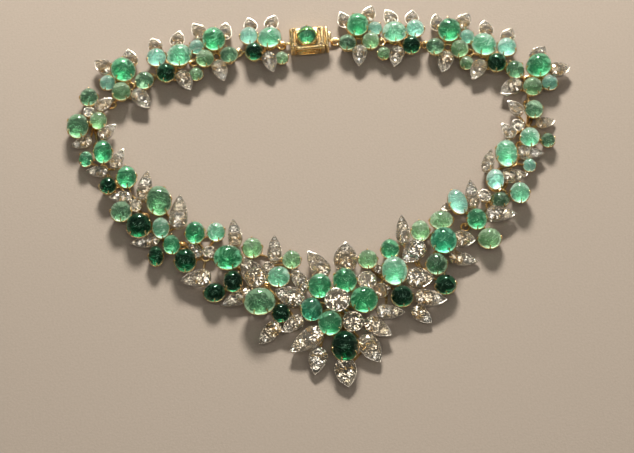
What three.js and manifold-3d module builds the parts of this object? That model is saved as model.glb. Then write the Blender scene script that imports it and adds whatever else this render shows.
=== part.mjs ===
// Collar necklace of cabochon emeralds and diamond-set leaves, clasped and lying on its back as a closed ring.
// Units are millimetres, +Z is up, the surface it lies on is z = 0, -Y is the front (the drop) and +Y the clasp.
// Each link is one frame: a star-shaped back plate with a collet under every stone and a heel under every leaf.
import * as THREE from "three";
import { mergeVertices } from "three/addons/utils/BufferGeometryUtils.js";
import Module from "manifold-3d";

const wasm = await Module();
wasm.setup();

// ---------------------------------------------------------------- driving dimensions
const GAP = 0.3; // clearance between separate pieces
const CENTRE_X = 1.718; // middle of the finished ring, taken off every placement
const CENTRE_Y = 12.889;
const SMALL_ROUND = 5.0; // round stones smaller than this are not modelled
const PLATE_T = 1.2; // thickness of a link's back plate
const PLATE_RIM = 0.9; // how far the plate reaches past the feet on it
const ARM_W = 1.7; // width of a connector's arm
const SEAT = [2.4, 3.4, 4.6, 6.2]; // height of a stone's girdle, by level
const DOME = 0.5; // cabochon height over mean diameter
const BEVEL = 0.7; // height of the stone below its girdle
const FOOT = 0.9; // where collets and leaf heels enter the plate
const COLLET_TOP = 0.88; // collet radius over stone radius, at the seat
const COLLET_FOOT = 0.5; // the same at the plate
const LEAF_TOP = [2.7, 4.1]; // top of a leaf setting at its broad end, by level
const LEAF_FALL = 1.3; // how much lower its tip is
const LEAF_T = 1.1; // thickness of a leaf setting at its tip
const CROWN = 0.16; // a round brilliant's crown height over its diameter
const EYE_T = 0.8; // thickness of a connector's eye
const EYE_HALF = 1.7; // half width of the eye
const HOLE_HALF = 0.8; // half width of the hole in the eye
const PIN_HALF = 0.42; // half width of the pin that stands in it
const HOOK_Z = [1.1, 1.9]; // the arm that carries the pin, above the eye
const ARM_START = 0.28; // where a connector's arm leaves the plate, as a share of the way to the joint
const CLOSE = 0.06; // frames nearer to each other than this are cut back
const CUT = 0.2; // by this much
const LARGE = 7.5; // cabochons at least this wide are pieces of their own

// The clasp: a box with a slot in its right end, and the tongue that slides into it.
const CLASP = { y: 69.0, left: -6.6, right: 4.6, half: 4.2, height: 4.6, wall: 1.1, floor: 1.2 };
const TONGUE = { reach: 8.4, half: 2.7, thickness: 1.7, stop: 1.0 };
const CLASP_GEM = { x: -1.0, width: 6.4, length: 6.4, seat: 5.5 };
const CLASP_JOINTS = [-9.4, 8.3]; // x of the pins that hold the clasp to the last links

const GOLD = new THREE.MeshStandardMaterial({ color: 0xd9a84e, roughness: 0.28, metalness: 1 });
const EMERALD = new THREE.MeshStandardMaterial({ color: 0x1f8f56, roughness: 0.12, metalness: 0 });

// ---------------------------------------------------------------- placements
// Front links. at: the hub. gems: x, y, width, length, turn in degrees, level.
// leaves: x, y, length, width, direction of the tip in degrees, level. rounds: x, y, diameter, level.
const FRONT = {
  centre: {
    at: [0.4, -26.4],
    gems: [[-4.8, -21.4, 7.3, 7.9, 0, 2], [3.0, -20.2, 7.3, 7.9, 0, 2], [-7.9, -28.5, 6.7, 7.5, 0, 1], [-2.8, -34.1, 7.2, 7.8, 0, 2], [8.2, -27.2, 8.5, 8.2, 0, 2], [1.0, -41.6, 8.2, 9.6, 0, 1]],
    leaves: [[-10.6, -38.6, 12.1, 6.6, -150, 1], [-7.6, -45.0, 8.9, 5.7, -105, 0], [0.6, -49.7, 9.4, 6.9, -85, 0], [8.9, -42.6, 10.2, 6.6, -62, 0], [11.7, -36.2, 9.6, 5.7, -34, 1], [4.0, -11.5, 10.4, 7.4, 83, 1], [-4.9, -13.0, 10.6, 5.8, 120, 1]],
    rounds: [[-0.0, -27.1, 7.3, 3], [4.2, -33.4, 6.3, 1]],
  },
  left_1: {
    at: [-16.5, -23.8],
    gems: [[-17.0, -16.6, 7.0, 6.6, 0, 1], [-23.4, -25.1, 9.7, 8.5, 0, 2], [-17.2, -28.5, 5.5, 5.9, 0, 0]],
    leaves: [[-10.7, -18.1, 8.9, 4.9, 121, 1], [-14.3, -23.3, 10.1, 6.6, 151, 1], [-14.3, -32.9, 8.1, 4.8, -150, 1], [-21.4, -34.7, 9.1, 5.4, -139, 0]],
    rounds: [],
  },
  left_2: {
    at: [-25.8, -12.5],
    gems: [[-12.6, -11.1, 5.8, 5.9, 0, 1], [-24.3, -6.0, 6.2, 6.6, 0, 1], [-32.0, -9.3, 8.9, 7.9, 0, 2], [-31.0, -17.0, 5.8, 6.9, 0, 1], [-36.9, -19.8, 6.7, 5.9, 0, 0]],
    leaves: [[-17.5, -6.7, 9.4, 4.6, 86, 1], [-25.1, -14.0, 11.7, 7.0, 116, 1], [-30.6, -22.1, 10.6, 5.2, -161, 0]],
    rounds: [[-19.8, -12.2, 2.8, 0]],
  },
  left_3: {
    at: [-38.8, -6.4],
    gems: [[-35.1, 0.5, 5.6, 6.0, 0, 1], [-41.6, 0.8, 6.2, 7.3, 0, 1], [-45.1, -8.6, 6.8, 7.6, 0, 1]],
    leaves: [[-29.4, -0.0, 9.6, 4.6, 92, 1], [-42.4, -14.7, 9.8, 5.8, -179, 1], [-42.2, -4.1, 6.9, 3.7, 120, 0]],
    rounds: [[-37.5, -5.5, 3.7, 0]],
  },
  left_4: {
    at: [-52.8, 3.0],
    gems: [[-52.0, 3.4, 5.3, 7.0, 0, 1], [-49.0, -2.7, 5.2, 6.3, 0, 1], [-58.8, 4.8, 7.8, 8.0, 0, 1], [-54.1, -5.7, 4.6, 6.7, 0, 0], [-52.1, 12.3, 7.8, 10.1, 0, 2]],
    leaves: [[-46.1, 8.9, 12.1, 5.9, 84, 1], [-57.3, 0.0, 9.4, 4.7, -179, 0]],
    rounds: [],
  },
  left_5: {
    at: [-61.1, 16.0],
    gems: [[-64.1, 10.2, 6.6, 6.7, 0, 1], [-61.8, 22.4, 6.3, 7.5, 0, 1], [-67.8, 19.8, 5.3, 5.4, 0, 1]],
    leaves: [[-56.1, 19.1, 10.9, 5.0, 79, 1], [-64.2, 15.7, 7.6, 4.1, 172, 1]],
    rounds: [[-59.5, 12.7, 3.8, 0]],
  },
  left_6: {
    at: [-69.3, 27.7],
    gems: [[-68.8, 32.2, 6.0, 7.9, 0, 1], [-74.4, 30.6, 4.5, 5.1, 0, 0]],
    leaves: [[-64.1, 29.4, 7.5, 4.1, 64, 1], [-71.3, 26.3, 7.5, 4.1, 166, 0]],
    rounds: [],
  },
  left_7: {
    at: [-71.7, 44.8],
    gems: [[-76.5, 42.3, 7.1, 8.3, 0, 1], [-69.9, 43.8, 5.5, 5.9, 0, 1], [-72.6, 52.8, 5.8, 5.9, 0, 1]],
    leaves: [[-67.0, 39.8, 7.1, 4.2, 39, 1], [-75.8, 37.0, 7.2, 4.2, -171, 0], [-67.6, 50.0, 6.9, 4.2, 33, 1]],
    rounds: [[-72.8, 47.6, 3.2, 1]],
  },
  right_1: {
    at: [15.8, -19.8],
    gems: [[10.7, -13.0, 6.1, 6.0, 0, 1], [17.9, -10.1, 5.8, 6.3, 0, 1], [18.4, -18.3, 7.9, 9.2, 0, 2], [19.9, -26.5, 6.7, 6.9, 0, 1]],
    leaves: [[14.1, -23.1, 6.6, 5.2, 17, 0], [16.0, -31.2, 8.8, 4.9, -3, 1]],
    rounds: [[9.8, -19.9, 5.5, 1], [14.0, -15.9, 2.8, 0]],
  },
  right_2: {
    at: [27.6, -17.5],
    gems: [[31.6, -16.5, 6.7, 6.9, 0, 1], [33.6, -23.2, 6.7, 6.3, 0, 0]],
    leaves: [[22.5, -3.4, 10.2, 4.6, 87, 1], [24.8, -11.7, 9.3, 6.5, -140, 1], [26.1, -20.5, 9.2, 6.9, -5, 1], [28.8, -27.7, 10.1, 5.8, -9, 1], [25.5, -32.6, 7.8, 4.9, -45, 0]],
    rounds: [],
  },
  right_3: {
    at: [37.7, -5.9],
    gems: [[27.9, -4.6, 5.9, 6.7, 0, 1], [34.8, -1.4, 7.5, 6.0, 0, 1], [34.6, -9.2, 8.3, 8.3, 0, 2]],
    leaves: [[41.3, -8.3, 7.5, 5.6, -7, 1], [40.5, -14.7, 9.6, 4.9, -11, 0]],
    rounds: [],
  },
  right_4: {
    at: [46.9, 0.0],
    gems: [[40.5, 3.9, 5.6, 8.7, 20, 2], [45.8, -2.0, 6.2, 7.0, 0, 1], [49.0, -8.6, 7.4, 6.7, 0, 0]],
    leaves: [[37.3, 4.0, 4.4, 3.1, -177, 0], [53.8, -0.5, 9.7, 5.3, -2, 1], [45.4, 7.3, 10.1, 4.7, 90, 1]],
    rounds: [],
  },
  right_5: {
    at: [55.4, 8.1],
    gems: [[54.0, 4.7, 6.0, 4.7, 0, 0], [53.2, 10.9, 5.7, 6.8, 0, 2], [60.4, 6.1, 6.3, 6.8, 0, 1]],
    leaves: [[60.0, 12.8, 8.7, 4.7, 3, 1]],
    rounds: [[49.4, 6.3, 3.8, 1]],
  },
  right_6: {
    at: [60.2, 18.8],
    gems: [[57.9, 19.9, 7.0, 9.2, 0, 2], [64.9, 16.2, 4.1, 4.4, 0, 0]],
    leaves: [[52.2, 18.6, 8.7, 4.1, 72, 1], [66.0, 20.4, 8.9, 4.5, -7, 1]],
    rounds: [],
  },
  right_7: {
    at: [66.5, 30.8],
    gems: [[66.2, 25.8, 6.4, 6.5, 0, 1], [72.0, 24.8, 4.5, 4.8, 0, 0], [69.0, 36.0, 5.8, 6.2, 0, 1]],
    leaves: [[59.6, 28.9, 6.6, 4.2, 117, 1], [72.4, 31.8, 6.9, 4.2, 12, 0], [63.1, 37.3, 6.5, 4.2, 125, 1]],
    rounds: [[63.2, 30.8, 3.8, 1]],
  },
};
// Back links: x, y, direction of the chain towards the clasp in degrees, scale.
const BACK = {
  right_8: [69.2, 49.0, 120.4, 1.0],
  right_9: [58.3, 58.4, 152.2, 0.98],
  right_10: [44.7, 63.6, 164.0, 0.96],
  right_11: [30.4, 66.8, 170.8, 0.94],
  right_12: [15.9, 68.4, 175.8, 0.92],
  left_8: [-59.4, 57.7, 29.4, 1.0],
  left_9: [-45.6, 63.4, 16.6, 0.975],
  left_10: [-31.0, 66.7, 9.4, 0.95],
  left_11: [-16.1, 68.4, 4.3, 0.925],
};
// Their two alternating patterns, u along the chain, v outwards. gems: u, v, width, length, turn, level.
// leaves: u and v of the broad end, u and v of the tip, width, level.
const PATTERNS = [
  {
    gems: [[0.4, 4.2, 7.8, 8.6, 0, 2], [-4.2, -1.8, 6.2, 6.2, 0, 1], [4.1, -2.4, 6.2, 5.8, 0, 1], [-5.8, 4.1, 5.2, 5.2, 0, 0]],
    leaves: [[-2.6, 6.4, -5.2, 13.2, 5.2, 1], [3.8, 4.6, 6.4, 11.8, 5.2, 0], [-0.5, -3.7, 0.3, -11.9, 5.4, 1]],
  },
  {
    gems: [[-3.8, 4.0, 6.4, 6.4, 0, 1], [3.3, 1.2, 8.4, 7.6, 0, 2], [-2.9, -2.9, 6.2, 6.6, 0, 1], [6.4, -6.3, 4.6, 4.6, 0, 0]],
    leaves: [[-2.4, 6.0, -2.6, 12.8, 5.0, 0], [3.5, 5.2, 6.9, 11.2, 5.0, 1], [1.5, -3.9, 2.7, -11.9, 5.2, 1]],
  },
];

function backLink([x, y, deg, scale], pattern, side) {
  const a = (deg * Math.PI) / 180,
    t = [Math.cos(a), Math.sin(a)],
    n = side > 0 ? [t[1], -t[0]] : [-t[1], t[0]];
  const put = (u, v) => [x + (t[0] * u + n[0] * v) * scale, y + (t[1] * u + n[1] * v) * scale];
  return {
    at: [x, y],
    gems: pattern.gems.map(([u, v, w, l, , level]) => [...put(u, v), w * scale, l * scale, deg, level]),
    leaves: pattern.leaves.map(([u0, v0, u1, v1, w, level]) => {
      const b = put(u0, v0),
        e = put(u1, v1);
      return [
        (b[0] + e[0]) / 2,
        (b[1] + e[1]) / 2,
        Math.hypot(e[0] - b[0], e[1] - b[1]),
        w * scale,
        (Math.atan2(e[1] - b[1], e[0] - b[0]) * 180) / Math.PI,
        level,
      ];
    }),
    rounds: [],
  };
}

const links = {};
for (const [name, link] of Object.entries(FRONT))
  links[name] = { ...link, rounds: link.rounds.filter((r) => r[2] >= SMALL_ROUND) };
for (const [name, row] of Object.entries(BACK)) {
  const [side, number] = name.split("_");
  links[name] = backLink(row, PATTERNS[number % 2], side === "right" ? 1 : -1);
}
const LEFT = 11,
  RIGHT = 12;
const chain = [];
for (let i = LEFT; i > 0; i--) chain.push("left_" + i);
chain.push("centre");
for (let i = 1; i <= RIGHT; i++) chain.push("right_" + i);

// ---------------------------------------------------------------- geometry to solids and back
function solid(geometry) {
  const g = geometry.index ? geometry.toNonIndexed() : geometry.clone();
  g.deleteAttribute("normal");
  g.deleteAttribute("uv");
  const m = mergeVertices(g, 1e-4);
  return new wasm.Manifold(
    new wasm.Mesh({
      numProp: 3,
      vertProperties: new Float32Array(m.attributes.position.array),
      triVerts: new Uint32Array(m.index.array),
    }),
  );
}

function geometryOf(manifold) {
  const m = manifold.getMesh(),
    n = m.numProp,
    v = new Float32Array(m.numVert * 3);
  for (let i = 0; i < m.numVert; i++) v.set(m.vertProperties.subarray(i * n, i * n + 3), i * 3);
  const g = new THREE.BufferGeometry()
    .setAttribute("position", new THREE.BufferAttribute(v, 3))
    .setIndex(new THREE.BufferAttribute(new Uint32Array(m.triVerts), 1));
  const flat = g.toNonIndexed();
  flat.computeVertexNormals();
  return flat;
}

const union = (solids) => solids.reduce((a, b) => a.add(b));
const rad = (deg) => (deg * Math.PI) / 180;

// A turned form about +Z through (x, y), stretched to an oval of the given half widths.
function turned(profile, segments, x, y, a, b, turn) {
  const g = new THREE.LatheGeometry(
    profile.map(([r, z]) => new THREE.Vector2(r, z)),
    segments,
    Math.PI / segments,
  );
  g.rotateX(Math.PI / 2); // the lathe's axis to +Z
  g.scale(a, b, 1);
  g.rotateZ(rad(turn));
  g.translate(x, y, 0);
  return solid(g);
}

// ---------------------------------------------------------------- stones
function cabochon([x, y, w, l, turn, level], grow = 0) {
  const h = (DOME * (w + l)) / 2,
    z = SEAT[level];
  return turned(
    [
      [0, z - BEVEL - grow],
      [0.76, z - BEVEL - grow],
      [1, z],
      [0.78, z + 0.64 * h],
      [0, z + h + grow],
    ],
    8,
    x,
    y,
    w / 2 + grow,
    l / 2 + grow,
    turn,
  );
}

// A small cabochon together with the collet that grips it.
function setCabochon([x, y, w, l, turn, level]) {
  const h = (DOME * (w + l)) / 2,
    z = SEAT[level];
  return turned(
    [
      [0, FOOT],
      [COLLET_FOOT, FOOT],
      [1, z],
      [0.74, z + 0.66 * h],
      [0, z + h],
    ],
    6,
    x,
    y,
    w / 2,
    l / 2,
    turn,
  );
}

function collet([x, y, w, l, turn, level], grow = 0) {
  return turned(
    [
      [0, FOOT - grow],
      [COLLET_FOOT, FOOT - grow],
      [COLLET_TOP, SEAT[level] - BEVEL - GAP + grow],
      [0, SEAT[level] - BEVEL - GAP + grow],
    ],
    6,
    x,
    y,
    w / 2 + grow,
    l / 2 + grow,
    turn,
  );
}

function setBrilliant([x, y, d, level], grow = 0) {
  const z = SEAT[level];
  return turned(
    [
      [0, FOOT - grow],
      [0.45, FOOT - grow],
      [1, z],
      [0.6, z + CROWN * d + grow],
      [0, z + CROWN * d + grow],
    ],
    6,
    x,
    y,
    d / 2 + grow,
    d / 2 + grow,
    0,
  );
}

// ---------------------------------------------------------------- leaf settings
const LEAF_WIDEST = 0.36; // where along it the leaf is widest

function leaf([x, y, length, width, direction, level], grow = 0) {
  const L = length / 2 + grow,
    W = width / 2 + grow;
  const shape = new THREE.Shape();
  shape.moveTo(-L, -0.42 * W);
  shape.lineTo(-L + 2 * L * LEAF_WIDEST, -W);
  shape.lineTo(L, 0);
  shape.lineTo(-L + 2 * L * LEAF_WIDEST, W);
  shape.lineTo(-L, 0.42 * W);
  const g = new THREE.ExtrudeGeometry(shape, { depth: 1, bevelEnabled: false, steps: 1 });
  const p = g.attributes.position,
    top = LEAF_TOP[level] + grow,
    foot = FOOT - grow;
  for (let i = 0; i < p.count; i++) {
    const t = (p.getX(i) + L) / (2 * L),
      upper = top - LEAF_FALL * t,
      under = t < 0.4 ? foot : upper - LEAF_T - 2 * grow;
    p.setZ(i, p.getZ(i) > 0.5 ? upper : under);
  }
  g.rotateZ(rad(direction));
  g.translate(x, y, 0);
  return solid(g);
}

// ---------------------------------------------------------------- back plates and connectors
function bar(x0, y0, x1, y1, width, z0, z1, over = 0) {
  const d = Math.hypot(x1 - x0, y1 - y0) + over,
    g = new THREE.BoxGeometry(d, width, z1 - z0);
  g.translate(d / 2, 0, (z0 + z1) / 2);
  g.rotateZ(Math.atan2(y1 - y0, x1 - x0));
  g.translate(x0, y0, 0);
  return solid(g);
}

// Where a leaf stands on its plate: a third of the way along it.
const heel = ([x, y, length, , direction]) => [
  x - Math.cos(rad(direction)) * length * 0.22,
  y - Math.sin(rad(direction)) * length * 0.22,
];

function feet(link) {
  return [...link.gems.map((g) => [g[0], g[1]]), ...link.rounds.map((r) => [r[0], r[1]]), ...link.leaves.map(heel)];
}

// The back plate: the outline drawn tight round the feet of the link's elements, widened by a rim.
function plateOutline(link, rim) {
  const pts = feet(link).sort((p, q) => p[0] - q[0] || p[1] - q[1]);
  const turn = (o, a, b) => (a[0] - o[0]) * (b[1] - o[1]) - (a[1] - o[1]) * (b[0] - o[0]);
  const half = (list) => {
    const out = [];
    for (const p of list) {
      while (out.length > 1 && turn(out[out.length - 2], out[out.length - 1], p) <= 0) out.pop();
      out.push(p);
    }
    out.pop();
    return out;
  };
  const hull = [...half(pts), ...half([...pts].reverse())];
  const cx = hull.reduce((a, p) => a + p[0], 0) / hull.length,
    cy = hull.reduce((a, p) => a + p[1], 0) / hull.length;
  return hull.map(([x, y]) => {
    const d = Math.hypot(x - cx, y - cy);
    return [x + ((x - cx) / d) * rim, y + ((y - cy) / d) * rim];
  });
}

function backPlate(link, grow = 0) {
  const shape = new THREE.Shape();
  plateOutline(link, PLATE_RIM + grow).forEach(([x, y], i) => (i ? shape.lineTo(x, y) : shape.moveTo(x, y)));
  const g = new THREE.ExtrudeGeometry(shape, { depth: PLATE_T + 2 * grow, bevelEnabled: false, steps: 1 });
  g.translate(0, 0, -grow);
  return solid(g);
}

const joints = []; // where neighbouring links meet, with the direction of the chain there
for (let i = 0; i + 1 < chain.length; i++) {
  const a = links[chain[i]].at,
    b = links[chain[i + 1]].at;
  joints.push({ x: (a[0] + b[0]) / 2, y: (a[1] + b[1]) / 2, from: a, to: b });
}

const partWay = (hub, x, y) => [hub[0] + (x - hub[0]) * ARM_START, hub[1] + (y - hub[1]) * ARM_START];

function eye(x, y, centre, grow = 0) {
  const hub = partWay(centre, x, y),
    d = Math.hypot(x - hub[0], y - hub[1]),
    h = EYE_HALF + grow,
    q = HOLE_HALF - grow;
  const shape = new THREE.Shape();
  shape.moveTo(-0.6, -h);
  shape.lineTo(d + h, -h);
  shape.lineTo(d + h, h);
  shape.lineTo(-0.6, h);
  const hole = new THREE.Path();
  hole.moveTo(d - q, -q);
  hole.lineTo(d - q, q);
  hole.lineTo(d + q, q);
  hole.lineTo(d + q, -q);
  hole.closePath();
  shape.holes.push(hole);
  const g = new THREE.ExtrudeGeometry(shape, { depth: EYE_T + 2 * grow, bevelEnabled: false, steps: 1 });
  g.translate(0, 0, -grow);
  g.rotateZ(Math.atan2(y - hub[1], x - hub[0]));
  g.translate(hub[0], hub[1], 0);
  return solid(g);
}

// An arm above the eye, with the pin that stands down through it at (x, y).
function pinArm(x0, y0, x, y, grow = 0) {
  const arm = bar(x0, y0, x, y, ARM_W + 2 * grow, HOOK_Z[0] - grow, HOOK_Z[1] + grow, 0.9 + grow);
  const g = new THREE.BoxGeometry(2 * (PIN_HALF + grow), 2 * (PIN_HALF + grow), HOOK_Z[1] - 0.1 + grow);
  g.translate(0, 0, (HOOK_Z[1] + 0.1 - grow) / 2);
  g.rotateZ(Math.atan2(y - y0, x - x0));
  g.translate(x, y, 0);
  return arm.add(solid(g));
}

const hook = (x, y, centre, grow = 0) => pinArm(...partWay(centre, x, y), x, y, grow);

// ---------------------------------------------------------------- clasp
function box(x0, x1, y0, y1, z0, z1) {
  const g = new THREE.BoxGeometry(x1 - x0, y1 - y0, z1 - z0);
  g.translate((x0 + x1) / 2, (y0 + y1) / 2, (z0 + z1) / 2);
  return solid(g);
}

// ---------------------------------------------------------------- assembly
const root = new THREE.Group();
const placed = [];

function addMesh(name, manifold, material) {
  const mesh = new THREE.Mesh(geometryOf(manifold), material);
  mesh.name = name;
  mesh.position.set(-CENTRE_X, -CENTRE_Y, 0);
  root.add(mesh);
  return mesh;
}

// The stones that are pieces of their own.
const stones = [];
for (const name of chain)
  links[name].gems.forEach((gem, i) => {
    if (Math.max(gem[2], gem[3]) < LARGE) return;
    stones.push({ name: "emerald_" + name + "_" + (i + 1), gem });
  });

const isStone = (gem) => stones.some((s) => s.gem === gem);
const elements = (link, grow) => [
  ...link.gems.map((g) => ({ at: g, make: (k) => (isStone(g) ? collet(g, k) : k ? cabochon(g, k).add(collet(g, k)) : setCabochon(g)) })),
  ...link.rounds.map((r) => ({ at: r, make: (k) => setBrilliant(r, k) })),
  ...link.leaves.map((l) => ({ at: l, make: (k) => leaf(l, k) })),
];

const frames = {};
chain.forEach((name, i) => {
  const link = links[name];
  const parts = elements(link).map((e) => e.make(0));
  const extra = [];
  if (i > 0) extra.push(hook(joints[i - 1].x, joints[i - 1].y, link.at));
  if (i + 1 < chain.length) extra.push(eye(joints[i].x, joints[i].y, link.at));
  if (i === 0) extra.push(eye(CLASP_JOINTS[0], CLASP.y, link.at));
  if (i + 1 === chain.length) extra.push(eye(CLASP_JOINTS[1], CLASP.y, link.at));
  frames[name] = { made: union([backPlate(link), ...extra, ...parts]) };
});


// Clearances: each frame is cut back from the separate stones, then from the frames before it.
for (const [i, name] of chain.entries()) {
  let made = frames[name].made;
  for (const s of stones) {
    const grown = cabochon(s.gem, GAP);
    if (made.intersect(grown).volume() > 1e-4) made = made.subtract(grown);
  }
  for (let j = Math.max(0, i - 3); j < i; j++) {
    const other = links[chain[j]];
    if (made.intersect(frames[chain[j]].made).volume() < 1e-5 && Math.abs(i - j) > 1) continue;
    const near = (k) => [
      ...elements(other).map((e) => e.make(k)),
      backPlate(other, k),
      ...(j + 1 < chain.length ? [eye(joints[j].x, joints[j].y, other.at, k)] : []),
      ...(j > 0 ? [hook(joints[j - 1].x, joints[j - 1].y, other.at, k)] : []),
    ];
    const cuts = near(CUT);
    near(CLOSE).forEach((g, k) => {
      if (made.intersect(g).volume() > 1e-4) made = made.subtract(cuts[k]);
    });
  }
  // a crumb left by the cutting is dropped
  frames[name].made = made.decompose().sort((a, b) => b.volume() - a.volume())[0];
}

for (const name of chain)
  addMesh(name === "centre" ? "centre_cluster" : name.replace("_", "_link_"), frames[name].made, GOLD);
for (const s of stones) addMesh(s.name, cabochon(s.gem), EMERALD);

// The clasp box, hollow behind its slot, with a cabochon in a collet on top.
const y0 = CLASP.y;
let claspBox = box(CLASP.left, CLASP.right, y0 - CLASP.half, y0 + CLASP.half, 0, CLASP.height).subtract(
  box(
    CLASP.right - TONGUE.reach - GAP,
    CLASP.right + 1,
    y0 - TONGUE.half - GAP,
    y0 + TONGUE.half + GAP,
    CLASP.floor,
    CLASP.floor + TONGUE.thickness + 2 * GAP,
  ),
);
claspBox = union([
  claspBox,
  turned(
    [
      [0, CLASP.height - 0.2],
      [0.72, CLASP.height - 0.2],
      [1, CLASP_GEM.seat],
      [0.74, CLASP_GEM.seat + 0.66 * DOME * CLASP_GEM.width],
      [0, CLASP_GEM.seat + DOME * CLASP_GEM.width],
    ],
    8,
    CLASP_GEM.x,
    y0,
    CLASP_GEM.width / 2,
    CLASP_GEM.length / 2,
    0,
  ),
  pinArm(CLASP.left + 0.5, y0, CLASP_JOINTS[0], y0),
]);
addMesh("clasp_box", claspBox, GOLD);

const tongueBase = CLASP.floor + GAP;
const tongue = union([
  box(
    CLASP.right - TONGUE.reach,
    CLASP.right + GAP + TONGUE.stop / 2,
    y0 - TONGUE.half,
    y0 + TONGUE.half,
    tongueBase,
    tongueBase + TONGUE.thickness,
  ),
  box(CLASP.right + GAP, CLASP.right + GAP + TONGUE.stop, y0 - CLASP.half, y0 + CLASP.half, 0, CLASP.height),
  pinArm(CLASP.right + GAP + TONGUE.stop - 0.5, y0, CLASP_JOINTS[1], y0),
]);
addMesh("clasp_tongue", tongue, GOLD);

export default root;
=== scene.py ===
import math
import random

import bpy
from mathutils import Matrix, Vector, geometry


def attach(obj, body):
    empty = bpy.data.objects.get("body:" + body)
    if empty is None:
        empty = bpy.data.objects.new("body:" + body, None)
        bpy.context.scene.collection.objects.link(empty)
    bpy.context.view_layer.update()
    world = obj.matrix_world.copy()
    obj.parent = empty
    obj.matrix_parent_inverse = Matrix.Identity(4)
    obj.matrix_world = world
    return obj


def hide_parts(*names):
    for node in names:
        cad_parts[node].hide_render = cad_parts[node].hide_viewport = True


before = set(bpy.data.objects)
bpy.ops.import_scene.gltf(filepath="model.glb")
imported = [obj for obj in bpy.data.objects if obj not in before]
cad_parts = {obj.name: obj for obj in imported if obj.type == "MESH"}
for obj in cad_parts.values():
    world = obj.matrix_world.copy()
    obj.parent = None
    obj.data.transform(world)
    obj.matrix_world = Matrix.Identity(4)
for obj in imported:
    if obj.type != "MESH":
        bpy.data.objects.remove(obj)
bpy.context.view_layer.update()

MM = 0.001
CENTRE_X, CENTRE_Y = 1.718, 12.889  # the same shift as in the CAD source
SEAT = [2.4, 3.4, 4.6, 6.2]         # height of a stone's girdle, by level
DOME = 0.5
LEAF_TOP = [2.7, 4.1]
LEAF_FALL = 1.3
PIN_Z = 1.5

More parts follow.
